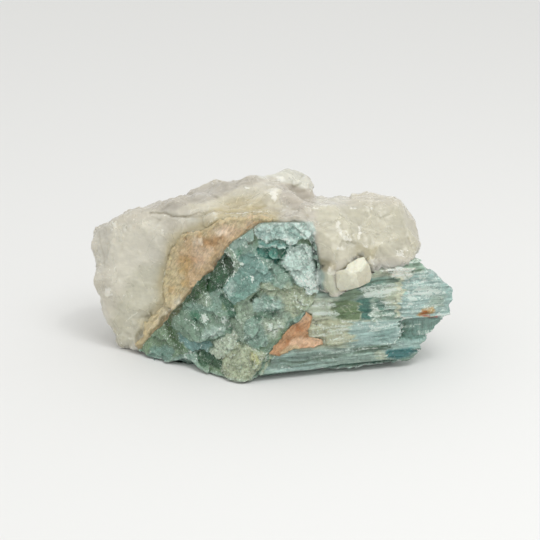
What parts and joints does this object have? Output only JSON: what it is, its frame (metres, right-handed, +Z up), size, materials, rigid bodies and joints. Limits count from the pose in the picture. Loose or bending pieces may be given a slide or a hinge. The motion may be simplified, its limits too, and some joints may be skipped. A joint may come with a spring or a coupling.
{
  "type": "mineral specimen",
  "caption": "Stout blue-green aquamarine crystal grown in milky quartz with tan feldspar, as a loose hand specimen that rests on its broken underside.",
  "frame": {"origin": "middle of the specimen's outline, on the surface that it rests on", "axes": "+X along the crystal towards its ragged right end, +Y back into the quartz, +Z up"},
  "size_m": [0.1098, 0.062, 0.052],
  "materials": {
    "quartz": "milky quartz, frosted on its broken edges",
    "aquamarine": "translucent blue-green beryl, glassy on its ridged faces and sugary where it is broken",
    "tan_feldspar": "dull tan feldspar",
    "orange_feldspar": "dull orange feldspar",
    "cream_feldspar": "pale cream feldspar with satin cleavage faces"
  },
  "bodies": {
    "root": {"quartz_matrix": "quartz", "aquamarine_crystal": "aquamarine", "feldspar_band": "tan_feldspar", "feldspar_wedge": "orange_feldspar", "feldspar_grain": "cream_feldspar"}
  },
  "joints": []
}
